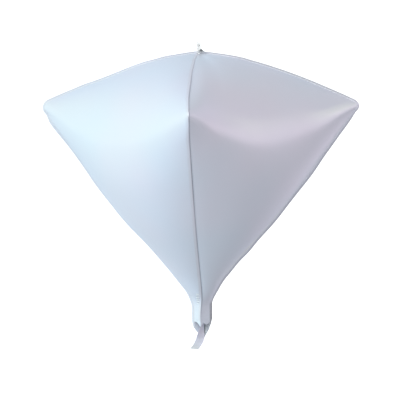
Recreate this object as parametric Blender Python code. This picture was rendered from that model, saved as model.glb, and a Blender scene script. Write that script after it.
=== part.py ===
"""Diamond foil balloon, inflated.

Four kite-shaped gores of metallised film are welded edge to edge. The four welds stand out as
thin flanges that run from the crown, round one corner each, down to a short round neck. A flat
tab with an eyelet stands on the crown, and the valve's flat film tail hangs from the neck.

Metres, +Z up. The front seam lies towards -Y. The origin is the centre of the gas volume.
"""

import math

import bmesh
import bpy
import numpy as np
from mathutils import Matrix

MM = 0.001

# Film and welds
FILM_WALL = 2.0 * MM
WELD_WALL = 1.2 * MM
FLANGE_WIDTH = 4.0 * MM
FIT_GAP = 0.3 * MM

# Where the crown's weld lies above the centre of the gas volume
CROWN_HEIGHT = 127.5 * MM
FLANGE_START_RADIUS = 1.0 * MM
NECK_END_DEPTH = 360.0 * MM
VALVE_ROOT_DEPTH = 348.0 * MM

# Hang tab on the crown
TAB_WIDTH = 6.7 * MM
TAB_TOP = 13.0 * MM
TAB_CORNER = 2.0 * MM
EYELET_RADIUS = 1.5 * MM
EYELET_HEIGHT = 7.6 * MM
TAB_CREASE_HEIGHT = 1.0 * MM

# Valve film: a rolled sleeve that fills the neck, its edges held in the side welds, with a flat
# stem below it and a free tail below the crease
VALVE_ROOT_HALF = 14.0 * MM
SLEEVE_RADIUS = 7.5 * MM
SLEEVE_TOP_DEPTH = 349.0 * MM
SLEEVE_FOOT_DEPTH = 359.0 * MM
TAIL_LEAN = math.radians(22.0)
TAIL_CREASE_X = -0.8 * MM
TAIL_CREASE_DEPTH = 375.0 * MM
TAIL_CREASE_GAP = 0.4 * MM
TAIL_WIDTH = 9.3 * MM
TAIL_END_WIDTH = 7.3 * MM
TAIL_LENGTH = 28.3 * MM

# Stations from the crown to the neck. Each gives a point and a heading of the seam line and of
# the gore's middle line: radius in mm, depth below the crown in mm, heading in degrees, where 0
# runs straight outwards and 90 straight down. The rim share is how far a section keeps flat in
# its middle and bends by its seams, and the sag share does the same for its depth. Rows is the
# count of rows up to the next station. The corner station is the ridge from corner to corner.
STATIONS = (
    # name         seam: r, depth, heading     middle: r, depth, heading   rim, sag        rows
    ("crown",       (2.2, 4.0, 4.0),            (2.2, 4.0, 3.0),            (0.11, 0.00),   3),
    ("dome",        (61.3, 13.6, 14.0),         (52.5, 11.8, 17.0),         (0.10, -0.15),  2),
    ("shoulder",    (108.0, 29.0, 19.5),        (95.2, 33.2, 35.0),         (0.50, -0.18),  2),
    ("upper_edge",  (162.7, 49.6, 22.5),        (125.4, 62.4, 56.0),        (0.52, -0.35),  3),
    ("corner_top",  (201.7, 66.9, 25.0),        (141.2, 96.5, 77.0),        (0.60, -0.25),  2),
    ("corner",      (206.0, 74.0, 90.0),        (144.0, 109.2, 81.5),       (0.50, -0.28),  2),
    ("corner_foot", (203.1, 81.0, 118.0),       (144.8, 117.5, 90.0),       (0.32, -0.18),  2),
    ("girth",       (180.0, 113.7, 124.0),      (141.0, 142.5, 103.5),      (0.13, 0.00),   3),
    ("flank",       (146.1, 161.6, 127.0),      (124.2, 182.6, 119.5),      (0.03, 0.00),   3),
    ("lower_flank", (96.2, 225.5, 130.0),       (82.6, 242.0, 131.0),       (0.04, -0.03),  3),
    ("taper",       (40.6, 289.3, 130.0),       (38.2, 293.5, 129.5),       (0.12, -0.05),  3),
    ("neck_top",    (18.2, 320.5, 122.0),       (18.4, 321.3, 122.0),       (0.11, 0.00),   2),
    ("neck",        (10.0, 340.0, 91.0),        (10.0, 340.0, 91.0),         (0.11, 0.00),   1),
    ("neck_end",    (10.0, 360.0, 90.0),        (10.0, 360.0, 90.0),         (0.11, 0.00),   0),
)

# Gores by the bearing of their middle. Each ends in a torn lip below the neck: how far its tip
# leans in (mm), and its length (mm) at places over the gore's width, from -1 to 1. The two lips
# at the back hang lower than the two at the front.
GORES = (
    ("gore_front_left", 225.0, 0.3,
     ((-1.0, 3.2), (-0.6, 2.4), (-0.2, 2.8), (0.3, 5.6), (0.7, 7.9), (1.0, 7.3))),
    ("gore_front_right", 315.0, 0.3,
     ((-1.0, 7.3), (-0.6, 5.4), (-0.1, 3.8), (0.5, 3.6), (1.0, 4.6))),
    ("gore_back_right", 45.0, 1.2,
     ((-1.0, 6.0), (-0.75, 11.0), (-0.45, 16.5), (0.0, 21.5), (0.32, 25.6), (0.5, 23.0),
      (0.66, 14.0), (0.85, 8.0), (1.0, 6.0))),
    ("gore_back_left", 135.0, 1.2,
     ((-1.0, 6.0), (-0.7, 8.0), (-0.4, 12.6), (-0.15, 16.6), (0.1, 17.6), (0.6, 15.0),
      (1.0, 10.0))),
)

SEAMS = (
    # name          bearing  foot depth
    ("seam_front",   270.0,  NECK_END_DEPTH),
    ("seam_right",     0.0,  VALVE_ROOT_DEPTH),
    ("seam_back",     90.0,  NECK_END_DEPTH),
    ("seam_left",    180.0,  VALVE_ROOT_DEPTH),
)

COLUMNS = 10
LIP_ROWS = 3

# Section shape: a round section's sagitta share, and the powers that bend a section by its seams
ROUND_SAGITTA = 1.0 - math.sqrt(0.5)
RIM_POWER = 7
SAG_POWER = 5

# Colours and surface of the pieces
FILM_COLOUR = (0.80, 0.84, 0.92)
WELD_COLOUR = (0.70, 0.75, 0.84)
VALVE_COLOUR = (0.86, 0.88, 0.92)


def clear_scene():
    for obj in list(bpy.data.objects):
        bpy.data.objects.remove(obj, do_unlink=True)


def film_material(name, colour, roughness):
    material = bpy.data.materials.new(name)
    material.use_nodes = True
    shader = material.node_tree.nodes["Principled BSDF"]
    shader.inputs["Base Color"].default_value = (*colour, 1.0)
    shader.inputs["Metallic"].default_value = 0.6
    shader.inputs["Roughness"].default_value = roughness
    return material


def span_points(start, end, count):
    """Points of one profile span, as a cubic whose handles suit an arc between the headings."""
    p0 = np.array(start[:2]) * MM
    p3 = np.array(end[:2]) * MM
    h0 = math.radians(start[2])
    h3 = math.radians(end[2])
    turn = max(abs(h3 - h0), 1e-3)
    handle = np.linalg.norm(p3 - p0) * (4 / 3) * math.tan(turn / 4) / (2 * math.sin(turn / 2))
    p1 = p0 + handle * np.array([math.cos(h0), math.sin(h0)])
    p2 = p3 - handle * np.array([math.cos(h3), math.sin(h3)])
    s = (np.arange(count) / count)[:, None]
    return (1 - s) ** 3 * p0 + 3 * s * (1 - s) ** 2 * p1 + 3 * s**2 * (1 - s) * p2 + s**3 * p3


def profile(column, density=1):
    """The seam line (column 1) or the gore's middle line (column 2), crown to neck end."""
    spans = [
        span_points(here[column], there[column], here[4] * density)
        for here, there in zip(STATIONS, STATIONS[1:])
    ]
    last = np.array([STATIONS[-1][column][:2]]) * MM
    return np.concatenate([*spans, last])


def outward_normals(line):
    """Unit normals of a profile in its own plane, pointing out of the balloon."""
    step = np.gradient(line, axis=0)
    step /= np.linalg.norm(step, axis=1)[:, None]
    return np.stack([step[:, 1], -step[:, 0]], axis=1)


def roundness(seam, middle):
    """0 where the section is straight between two seams, 1 where it is round, below 0 in a saddle."""
    return (middle[:, 0] - seam[:, 0] * math.sqrt(0.5)) / (seam[:, 0] * ROUND_SAGITTA)


def section_shares():
    """The rim share and the sag share of every row."""
    marks = np.cumsum([0] + [station[4] for station in STATIONS[:-1]])
    rows = np.arange(marks[-1] + 1)
    columns = [np.interp(rows, marks, [station[3][k] for station in STATIONS]) for k in (0, 1)]
    return np.stack(columns, axis=1)


def section_point(seam, middle, shares, across, edge):
    """A point of the gore in its own axes: out along its middle, sideways, depth."""
    half = math.sqrt(0.5)
    rim, sag = shares
    end_out = (seam[0] + edge) * half
    end_side = (seam[0] - edge) * half
    bend = (1 - rim) * across**2 + rim * abs(across) ** RIM_POWER
    drop = (1 - sag) * across**2 + sag * abs(across) ** SAG_POWER
    out = middle[0] + (end_out - middle[0]) * bend
    depth = middle[1] + (seam[1] - middle[1]) * drop
    return out, end_side * across, depth


def inner_lines(seam, middle):
    """Both lines moved in by the wall, with the mitre that two gores need at their seam."""
    share = np.clip(roundness(seam, middle), 0.0, 1.0)[:, None]
    mitre = 1.0 + (math.sqrt(2.0) - 1.0) * (1.0 - share)
    return (
        seam - outward_normals(seam) * FILM_WALL * mitre,
        middle - outward_normals(middle) * FILM_WALL,
    )


def gore_rows(seam, middle, lean, lip, edge):
    """Rows of (out, side, depth) points from the crown to the foot of the lip."""
    spread = np.linspace(-1.0, 1.0, COLUMNS + 1)
    shares = section_shares()
    rows = [
        [section_point(s, m, share, t, edge) for t in spread]
        for s, m, share in zip(seam, middle, shares)
    ]
    lengths = np.interp(spread, [place for place, _ in lip], [length for _, length in lip])
    for step in range(1, LIP_ROWS + 1):
        row = []
        for (out, side, depth), length in zip(rows[len(seam) - 1], lengths):
            down = length * MM * step / LIP_ROWS
            narrowed = 1 - lean * MM * (down / (lengths.max() * MM)) ** 2 / seam[-1][0]
            row.append((out * narrowed, side * narrowed, depth + down))
        rows.append(row)
    return rows


def build_gore(name, bearing, lean, lip, material):
    seam = profile(1)
    middle = profile(2)
    inner_seam, inner_middle = inner_lines(seam, middle)
    edge = WELD_WALL / 2 + FIT_GAP
    outer = gore_rows(seam, middle, lean, lip, edge)
    inner = gore_rows(inner_seam, inner_middle, lean, lip, edge)
    turn = math.radians(bearing)
    mesh = bmesh.new()

    def place(point):
        out, side, depth = point
        x = out * math.cos(turn) - side * math.sin(turn)
        y = out * math.sin(turn) + side * math.cos(turn)
        return mesh.verts.new((x, y, CROWN_HEIGHT - depth))

    skins = [[[place(point) for point in row] for row in rows] for rows in (outer, inner)]
    out_skin, in_skin = skins
    last = len(out_skin) - 1
    for j in range(last):
        for i in range(COLUMNS):
            mesh.faces.new((out_skin[j][i], out_skin[j + 1][i], out_skin[j + 1][i + 1], out_skin[j][i + 1]))
            mesh.faces.new((in_skin[j][i], in_skin[j][i + 1], in_skin[j + 1][i + 1], in_skin[j + 1][i]))
        for i in (0, COLUMNS):
            mesh.faces.new((out_skin[j][i], in_skin[j][i], in_skin[j + 1][i], out_skin[j + 1][i]))
    for i in range(COLUMNS):
        mesh.faces.new((out_skin[0][i], out_skin[0][i + 1], in_skin[0][i + 1], in_skin[0][i]))
        mesh.faces.new((out_skin[last][i], in_skin[last][i], in_skin[last][i + 1], out_skin[last][i + 1]))
    return finish_piece(name, mesh, material)


def finish_piece(name, mesh, material, smooth=True):
    bmesh.ops.triangulate(mesh, faces=mesh.faces[:])
    bmesh.ops.recalc_face_normals(mesh, faces=mesh.faces[:])
    data = bpy.data.meshes.new(name)
    mesh.to_mesh(data)
    mesh.free()
    if smooth:
        data.shade_smooth()
        data.set_sharp_from_angle(angle=math.radians(35.0))
    data.materials.append(material)
    piece = bpy.data.objects.new(name, data)
    bpy.context.scene.collection.objects.link(piece)
    return piece


def plate(name, outline, wall, material, origin=(0.0, 0.0, 0.0)):
    """A flat plate in the XZ plane from a closed outline of (x, z) points about its origin."""
    mesh = bmesh.new()
    front = [mesh.verts.new((x, -wall / 2, z)) for x, z in outline]
    back = [mesh.verts.new((x, wall / 2, z)) for x, z in outline]
    mesh.faces.new(front)
    mesh.faces.new(back[::-1])
    for i, point in enumerate(front):
        after = (i + 1) % len(front)
        mesh.faces.new((point, back[i], back[after], front[after]))
    piece = finish_piece(name, mesh, material, smooth=False)
    piece.location = origin
    return piece


def build_seam(name, bearing, foot_depth, material):
    """The welded flange along one seam, from the film's inner face to the flange's free edge."""
    line = profile(1, density=2)
    inner = line - outward_normals(line) * FILM_WALL
    outer = line + outward_normals(line) * FLANGE_WIDTH
    start = np.array([[FLANGE_START_RADIUS, line[0, 1]]])
    inner = np.concatenate([start + [0.0, FILM_WALL], inner])
    outer = np.concatenate([start - [0.0, FLANGE_WIDTH], outer])
    outlines = []
    for edge in (inner, outer):
        kept = edge[edge[:, 1] < foot_depth - 1.0 * MM]
        foot = np.array([[np.interp(foot_depth, edge[:, 1], edge[:, 0]), foot_depth]])
        outlines.append(np.concatenate([kept, foot]))
    inner, outer = outlines
    mesh = bmesh.new()
    turn = math.radians(bearing)
    half = WELD_WALL / 2

    def place(point, side):
        radius, depth = point
        x = radius * math.cos(turn) - side * math.sin(turn)
        y = radius * math.sin(turn) + side * math.cos(turn)
        return mesh.verts.new((x, y, CROWN_HEIGHT - depth))

    rows = min(len(inner), len(outer))
    inner = np.concatenate([inner[: rows - 1], inner[-1:]])
    outer = np.concatenate([outer[: rows - 1], outer[-1:]])
    loops = [
        (place(b, -half), place(b, half), place(a, half), place(a, -half))
        for a, b in zip(inner, outer)
    ]
    for here, there in zip(loops, loops[1:]):
        for i in range(4):
            j = (i + 1) % 4
            mesh.faces.new((here[i], here[j], there[j], there[i]))
    mesh.faces.new(loops[0])
    mesh.faces.new(loops[-1][::-1])
    return finish_piece(name, mesh, material)


def build_hang_tab(material):
    """A flat tab with round shoulders, bored for a ribbon. Its origin is on its crease."""
    low = FIT_GAP - TAB_CREASE_HEIGHT
    high = TAB_TOP - TAB_CREASE_HEIGHT
    half = TAB_WIDTH / 2
    outline = [(-half, low), (half, low)]
    for centre, first in ((half - TAB_CORNER, 0.0), (TAB_CORNER - half, 90.0)):
        for step in range(5):
            angle = math.radians(first + 22.5 * step)
            outline.append((
                centre + TAB_CORNER * math.cos(angle),
                high - TAB_CORNER + TAB_CORNER * math.sin(angle),
            ))
    crease = (0.0, 0.0, CROWN_HEIGHT + TAB_CREASE_HEIGHT)
    tab = plate("hang_tab", outline, WELD_WALL, material, crease)
    punch = bmesh.new()
    bmesh.ops.create_cone(
        punch, cap_ends=True, segments=24,
        radius1=EYELET_RADIUS, radius2=EYELET_RADIUS, depth=4 * WELD_WALL,
    )
    quarter_turn = Matrix.Rotation(math.pi / 2, 3, "X")
    bmesh.ops.rotate(punch, verts=punch.verts[:], cent=(0.0, 0.0, 0.0), matrix=quarter_turn)
    cutter = finish_piece("eyelet_punch", punch, material)
    cutter.parent = tab
    cutter.location = (0.0, 0.0, EYELET_HEIGHT - TAB_CREASE_HEIGHT)
    helper(cutter)
    bore = tab.modifiers.new("eyelet", "BOOLEAN")
    bore.operation = "DIFFERENCE"
    bore.solver = "EXACT"
    bore.object = cutter
    return tab


def strip_corner(along, side):
    """A point of the leaning valve strip: distance below the crease, distance to the right."""
    x = side * math.cos(TAIL_LEAN) - along * math.sin(TAIL_LEAN)
    z = -side * math.sin(TAIL_LEAN) - along * math.cos(TAIL_LEAN)
    return x, z


def helper(piece):
    """Keeps a shape that only cuts or joins another out of the picture."""
    piece.hide_render = True
    piece.display_type = "WIRE"
    return piece


def build_valve(material):
    """The valve film: the sleeve in the neck with its stem, and the free tail."""
    crease_z = CROWN_HEIGHT - TAIL_CREASE_DEPTH
    root_top = CROWN_HEIGHT - VALVE_ROOT_DEPTH - FIT_GAP
    root_foot = CROWN_HEIGHT - NECK_END_DEPTH + 2.0 * MM
    stem_top = CROWN_HEIGHT - NECK_END_DEPTH - 3.0 * MM
    half = TAIL_WIDTH / 2
    lower_right = strip_corner(-TAIL_CREASE_GAP, half)
    lower_left = strip_corner(-TAIL_CREASE_GAP, -half)
    stem = [
        (-VALVE_ROOT_HALF, root_top), (-VALVE_ROOT_HALF, root_foot), (-5.5 * MM, stem_top),
        (TAIL_CREASE_X + lower_left[0], crease_z + lower_left[1]),
        (TAIL_CREASE_X + lower_right[0], crease_z + lower_right[1]),
        (5.5 * MM, stem_top), (VALVE_ROOT_HALF, root_foot), (VALVE_ROOT_HALF, root_top),
    ]
    sleeve = plate("valve_sleeve", stem, WELD_WALL, material)
    roll = bmesh.new()
    bmesh.ops.create_cone(
        roll, cap_ends=True, segments=24, radius1=SLEEVE_RADIUS, radius2=SLEEVE_RADIUS,
        depth=SLEEVE_FOOT_DEPTH - SLEEVE_TOP_DEPTH,
    )
    rolled_film = finish_piece("rolled_film", roll, material)
    rolled_film.location.z = CROWN_HEIGHT - (SLEEVE_TOP_DEPTH + SLEEVE_FOOT_DEPTH) / 2
    helper(rolled_film)
    join = sleeve.modifiers.new("rolled_film", "BOOLEAN")
    join.operation = "UNION"
    join.solver = "EXACT"
    join.object = rolled_film
    end_half = TAIL_END_WIDTH / 2
    tail_outline = [
        strip_corner(TAIL_CREASE_GAP, half), strip_corner(TAIL_CREASE_GAP, -half),
        strip_corner(TAIL_LENGTH * 0.55, -half), strip_corner(TAIL_LENGTH, -end_half),
        strip_corner(TAIL_LENGTH, end_half * 0.55), strip_corner(TAIL_LENGTH * 0.93, end_half),
        strip_corner(TAIL_LENGTH * 0.55, half),
    ]
    tail = plate(
        "valve_tail", tail_outline, WELD_WALL, material, (TAIL_CREASE_X, 0.0, crease_z)
    )
    return sleeve, tail


def main():
    clear_scene()
    film = film_material("film", FILM_COLOUR, 0.36)
    weld = film_material("weld", WELD_COLOUR, 0.42)
    valve = film_material("valve_film", VALVE_COLOUR, 0.40)
    for name, bearing, lean, lip in GORES:
        build_gore(name, bearing, lean, lip, film)
    for name, bearing, foot_depth in SEAMS:
        build_seam(name, bearing, foot_depth, weld)
    build_hang_tab(weld)
    build_valve(valve)


main()
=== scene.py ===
"""Looks of the diamond foil balloon: film, welds, crown tab, valve tail and a soft white studio.

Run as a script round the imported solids. Every piece sits in the solids' own frame, in metres.
"""

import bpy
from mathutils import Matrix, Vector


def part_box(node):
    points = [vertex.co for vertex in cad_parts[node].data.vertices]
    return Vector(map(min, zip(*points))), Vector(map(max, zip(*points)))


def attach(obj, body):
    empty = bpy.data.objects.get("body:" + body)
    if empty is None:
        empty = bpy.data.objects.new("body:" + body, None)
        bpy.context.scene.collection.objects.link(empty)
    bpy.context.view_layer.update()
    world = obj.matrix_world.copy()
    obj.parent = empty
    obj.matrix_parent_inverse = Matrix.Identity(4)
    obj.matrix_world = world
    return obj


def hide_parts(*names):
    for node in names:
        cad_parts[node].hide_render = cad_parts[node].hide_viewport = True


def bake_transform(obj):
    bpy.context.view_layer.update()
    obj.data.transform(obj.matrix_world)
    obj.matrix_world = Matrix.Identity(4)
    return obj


bl_info = {
    "name": "Diamond Foil Balloon",
    "version": (1, 0, 0),
    "blender": (4, 5, 0),
    "location": "3D View > Sidebar > Balloon",
    "description": "Film, welds, crown tab, valve tail and a soft white studio",
    "category": "Object",
}

import math
from collections import namedtuple

import bmesh
import bpy
import numpy as np
from bpy.props import FloatProperty, FloatVectorProperty, PointerProperty
from mathutils import Matrix, Vector

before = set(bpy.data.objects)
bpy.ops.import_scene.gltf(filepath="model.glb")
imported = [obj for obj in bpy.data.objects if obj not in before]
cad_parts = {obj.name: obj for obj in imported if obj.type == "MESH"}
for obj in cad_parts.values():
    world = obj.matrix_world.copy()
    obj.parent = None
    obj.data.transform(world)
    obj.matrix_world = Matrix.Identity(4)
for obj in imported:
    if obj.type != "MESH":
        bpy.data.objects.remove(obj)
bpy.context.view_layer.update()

MM = 0.001
CROWN_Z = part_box("seam_front")[1][2]
NECK_END_DEPTH = 360.0 * MM
# Each weld lies midway between the middles of two gores, at 45 degrees to both
DIAGONAL = math.sqrt(0.5)

Station = namedtuple("Station", "name seam middle shares rows")
Gore = namedtuple("Gore", "name bearing lean lip groove")
Seam = namedtuple("Seam", "name bearing lean lays wave foot")

# Stations from the crown to the neck, as in the solids: a point and a heading of the seam line
# and of the gore's middle line (radius in mm, depth below the crown in mm, degrees), how far a
# section keeps flat in its middle and bends by its seams, the same for its depth, and the count
# of rows up to the next station. The corner station is the ridge from corner to corner.
STATIONS = (
    #        name         seam: r, depth, heading     middle: r, depth, heading   rim, sag        rows
    Station("crown",       (2.2, 4.0, 4.0),            (2.2, 4.0, 3.0),            (0.11, 0.00),   12),
    Station("dome",        (61.3, 13.6, 14.0),         (52.5, 11.8, 17.0),         (0.10, -0.15),  10),
    Station("shoulder",    (108.0, 29.0, 19.5),        (95.2, 33.2, 35.0),         (0.50, -0.18),  10),
    Station("upper_edge",  (162.7, 49.6, 22.5),        (125.4, 62.4, 56.0),        (0.52, -0.35),  10),
    Station("corner_top",  (201.7, 66.9, 25.0),        (141.2, 96.5, 77.0),        (0.60, -0.25),  6),
    Station("corner",      (206.0, 74.0, 90.0),        (144.0, 109.2, 81.5),       (0.50, -0.28),  6),
    Station("corner_foot", (203.1, 81.0, 118.0),       (144.8, 117.5, 90.0),       (0.32, -0.18),  9),
    Station("girth",       (180.0, 113.7, 124.0),      (141.0, 142.5, 103.5),      (0.13, 0.00),   12),
    Station("flank",       (146.1, 161.6, 127.0),      (124.2, 182.6, 119.5),      (0.03, 0.00),   14),
    Station("lower_flank", (96.2, 225.5, 130.0),       (82.6, 242.0, 131.0),       (0.04, -0.03),  16),
    Station("taper",       (40.6, 289.3, 130.0),       (38.2, 293.5, 129.5),       (0.12, -0.05),  14),
    Station("neck_top",    (18.2, 320.5, 122.0),       (18.4, 321.3, 122.0),       (0.11, 0.00),   24),
    Station("neck",        (10.0, 340.0, 91.0),        (10.0, 340.0, 91.0),        (0.11, 0.00),   12),
    Station("neck_end",    (10.0, 360.0, 90.0),        (10.0, 360.0, 90.0),        (0.11, 0.00),   0),
)

# Gores by the bearing of their middle, with the torn lip below the neck's end: how far its tip
# leans in, and its length at places over the gore's width, from -1 to 1. The two lips at the
# back hang lower than the two at the front. Then the strength of the painted shade along its
# two welds, where the film dips into their grooves.
GORES = (
    Gore("gore_front_left", 225.0, 0.3,
         ((-1.0, 3.6), (-0.6, 3.4), (-0.2, 3.8), (0.3, 5.6), (0.7, 7.4), (1.0, 8.6)),
         (0.0, 0.0)),
    Gore("gore_front_right", 315.0, 0.3,
         ((-1.0, 8.6), (-0.78, 7.4), (-0.6, 5.2), (-0.45, 4.2), (-0.25, 4.6), (0.0, 6.4),
          (0.3, 7.0), (0.55, 6.2), (0.75, 5.2), (1.0, 4.6)),
         (1.0, 0.0)),
    Gore("gore_back_right", 45.0, 1.2,
         ((-1.0, 13.0), (-0.75, 16.0), (-0.4, 19.5), (0.0, 23.5), (0.2, 26.2), (0.32, 27.0),
          (0.5, 23.0), (0.66, 14.0), (0.85, 8.0), (1.0, 6.0)),
         (0.0, 0.30)),
    Gore("gore_back_left", 135.0, 1.2,
         ((-1.0, 6.0), (-0.7, 8.0), (-0.4, 12.6), (-0.15, 17.0), (0.1, 19.6), (0.3, 19.6),
          (0.6, 17.5), (0.8, 15.5), (1.0, 13.0)),
         (0.30, 0.0)),
)

# Welded flanges by bearing: which way they lean, how far at the crown, above the corner, below
# it and at the neck (degrees; the front and back ones lie flat on the film), the size of their
# waves, and the depths that the root and the outer edge of a side flange end at (mm)
SEAMS = (
    #    name          bearing  lean  how far                      wave   root and edge at the foot
    Seam("seam_front",   270.0,  -1.0,  None,                       0.10,  (360.0, 360.0)),
    Seam("seam_right",     0.0,   1.0,  (62.0, 58.0, 42.0, 45.0),   0.25,  (371.0, 360.0)),
    Seam("seam_back",     90.0,   1.0,  None,                       0.10,  (360.0, 360.0)),
    Seam("seam_left",    180.0,  -1.0,  (62.0, 58.0, 42.0, 45.0),   0.25,  (373.0, 364.0)),
)

# Where along a side seam those four angles hold (mm), how far open a flat flange stands and how
# deep its root is sunk, how far a flange's root reaches into the film, the depth (mm) below which
# a side flange is cut to its end, and its rows below the neck's end
LAY_MARKS = (12.0, 200.0, 240.0, 560.0)
PRESSED_GAP = math.radians(5.0)
PRESSED_ROOT = -0.6 * MM
ROOT_REACH = 0.9 * MM
FOOT_BEND = 350.0
FOOT_ROWS = 8

# How far the seams stray from true: distance along the seam from the crown (mm), and how far it
# lies to the right (the front seam) or outwards (the side seams), in mm
STRAYS = {
    270.0: (
        (0.0, 0.0), (45.0, -1.0), (86.0, -1.1), (108.0, -1.5), (127.0, -1.1), (180.0, -0.1),
        (219.0, 2.0), (253.0, 0.9), (280.0, 0.8), (463.0, 0.9), (488.0, 1.1), (545.0, 1.0),
        (561.0, -0.4), (590.0, -0.4),
    ),
    0.0: (
        (0.0, 1.3), (20.0, 0.8), (57.0, 0.9), (69.0, 0.4), (82.0, 0.7), (107.0, 1.1),
        (184.0, -0.1), (200.0, -0.1), (212.0, -0.3), (219.0, 0.8), (226.0, -0.9), (237.0, -1.2),
        (254.0, -0.7), (304.0, -0.8), (320.0, 0.0), (371.0, -0.3), (405.0, 0.5), (442.0, 0.1),
        (459.0, 0.9), (478.0, 0.0), (496.0, 0.4), (513.0, -0.1), (530.0, 0.9), (571.0, 1.0),
    ),
    180.0: (
        (0.0, 1.3), (32.0, 0.8), (44.0, 1.1), (57.0, 0.4), (69.0, 0.7), (145.0, 0.1),
        (158.0, 0.8), (171.0, 0.9), (211.0, 1.7), (219.0, 1.4), (226.0, -0.1), (237.0, 1.6),
        (254.0, 1.8), (287.0, 0.2), (320.0, 0.9), (337.0, 2.1), (371.0, 2.5), (405.0, 2.8),
        (442.0, 1.3), (513.0, 1.6), (530.0, 0.6), (545.0, 1.5), (553.0, 0.6), (571.0, 0.4),
    ),
}
STRAY_REACH = 40.0 * MM

# The ridge of the gore that faces front and right: place over the gore's width, how far it
# rises (mm), and the strength of the highlight painted on its crest
RIDGE = (
    (-1.0, 0.0, 0.0), (-0.87, 3.0, 0.0), (-0.76, 1.5, 0.0), (-0.5, 0.8, 0.25),
    (-0.3, 0.8, 0.45), (-0.1, 2.5, 0.3), (0.12, 5.7, 0.2), (0.38, 6.3, 0.25), (0.57, 4.0, 0.6),
    (0.77, 2.5, 0.9), (0.9, 1.2, 0.8), (1.0, 0.0, 0.4),
)

# Painted shade in the groove along a weld, how strongly it darkens the film: distance along the
# seam (mm) and share. Near the crown the groove is shallow, and it ends above the lips.
PAINTED_GROOVE_SHADE = (
    (0.0, 0.0), (60.0, 0.03), (85.0, 0.15), (105.0, 0.22), (127.0, 0.45), (160.0, 0.66),
    (207.0, 0.60), (219.0, 0.85), (229.0, 0.70), (253.0, 0.75), (280.0, 0.95), (345.0, 0.95),
    (380.0, 0.72), (438.0, 0.80), (463.0, 0.65), (500.0, 0.65), (545.0, 0.75), (560.0, 0.5),
    (571.0, 0.25), (590.0, 0.0),
)

# The film beside the right-hand weld's lower half, where it curls in and where a highlight is
# painted on it: distance along the seam (mm) and the strength of both
EDGE_CURL_AND_HIGHLIGHT = (
    (219.0, 0.0), (260.0, 0.3), (320.0, 0.5), (371.0, 0.65), (405.0, 1.0), (442.0, 1.3),
    (478.0, 1.1), (500.0, 0.6), (520.0, 0.0), (571.0, 0.0),
)

# A gore's grid: its columns, how they crowd towards the welds, the rows of its lip, and the
# powers that a section bends by near its seams, in width and in depth
COLUMNS = 64
CROWDING = 1.35
LIP_ROWS = 12
RIM_POWER = 7
SAG_POWER = 5

# Where the neck's faces start to flatten, over which depth (mm) and by what share
NECK_FLAT = (315.0, 30.0, 0.28)

# Gap between the film and a weld's plane, the shares of it and of a flange's wall that are left
# at the crown, and where along a seam both start to grow and over which length (mm)
FILM_GAP = 0.40 * MM
CROWN_GAP = 0.35
CROWN_WALL = 0.3
CROWN_OPENS = (30.0, 90.0)

# How far the ridge's rise fades up the gore and down it, and how wide the highlight painted on
# its crest is (mm) at four places over the gore's width
RIDGE_FADE = (75 * MM, 45 * MM)
CREST_PLACES = (-1.0, 0.3, 0.7, 1.0)
CREST_WIDTHS = (13.0, 12.0, 5.0, 3.5)

# Rows above a gore's lip that evening leaves alone, and those that it leaves alone where the gore
# with the ridge is evened once more, near its left weld: the place there and its half width
SETTLE_STOP = 4
RIDGE_STOP = 64
RIDGE_FLANK = (-0.66, 0.2)

# Puckers: their pitch along a weld, how far in they reach, how far off the weld they start and
# the seams' radius below which they fade
PUCKER_PITCH = 8.5 * MM
PUCKER_REACH = 9 * MM
PUCKER_START = 1.2 * MM
PUCKER_ROOM = 14 * MM

# The film beside the right-hand weld: how far it is pressed in and over which reach, the reach
# of its painted haze of light, and the place and pitch of its line of painted bright dots
CURL_DEPTH = 1.8 * MM
CURL_REACH = 9 * MM
HAZE_REACH = 12 * MM
DOT_LINE = 1.3 * MM
DOT_PITCH = 2.4 * MM

# The half width of the painted shade in a weld's groove, and the painted shade between
# the pleats beside the front weld: its middle and half width from the weld, and its middle and
# half length along the seam
GROOVE_HALF = 0.75 * MM
PLEATS_IN = (4.2 * MM, 3.6 * MM)
PLEATS_ALONG = (540.0 * MM, 8.5 * MM)


class FilmSettings(bpy.types.PropertyGroup):
    """Sizes and colours of the balloon's film."""

    wall: FloatProperty(
        name="Film wall", description="Thickness that the film is drawn with",
        default=0.45 * MM, unit="LENGTH",
    )
    pucker: FloatProperty(
        name="Pucker height", description="Height of the puckers beside the welds",
        default=0.22 * MM, unit="LENGTH",
    )
    colour: FloatVectorProperty(
        name="Film colour", description="Pearl colour of the film",
        subtype="COLOR", size=3, default=(0.80, 0.84, 0.92), min=0.0, max=1.0,
    )
    tint: FloatVectorProperty(
        name="Second tint", description="Tint that the pearl drifts to in broad clouds",
        subtype="COLOR", size=3, default=(0.86, 0.82, 0.90), min=0.0, max=1.0,
    )
    roughness: FloatProperty(
        name="Satin", description="Roughness of the film", subtype="FACTOR",
        default=0.42, min=0.0, max=1.0,
    )
    metal: FloatProperty(
        name="Metallising", description="How metallic the film looks", subtype="FACTOR",
        default=0.45, min=0.0, max=1.0,
    )


class WeldSettings(bpy.types.PropertyGroup):
    """Sizes of the welded flanges."""

    width: FloatProperty(
        name="Flange width", description="How far a weld stands out from the film",
        default=4.0 * MM, unit="LENGTH",
    )
    wall: FloatProperty(
        name="Flange wall", description="Thickness of the two welded plies",
        default=0.7 * MM, unit="LENGTH",
    )
    rib_spacing: FloatProperty(
        name="Rib spacing", description="Distance between the weld's fine ribs",
        default=1.6 * MM, unit="LENGTH",
    )
    pleat_spacing: FloatProperty(
        name="Pleat spacing", description="Distance between the pleats round the neck's bend",
        default=3.2 * MM, unit="LENGTH",
    )
    colour: FloatVectorProperty(
        name="Weld colour", description="Colour of the welded plies",
        subtype="COLOR", size=3, default=(0.79, 0.79, 0.85), min=0.0, max=1.0,
    )


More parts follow.
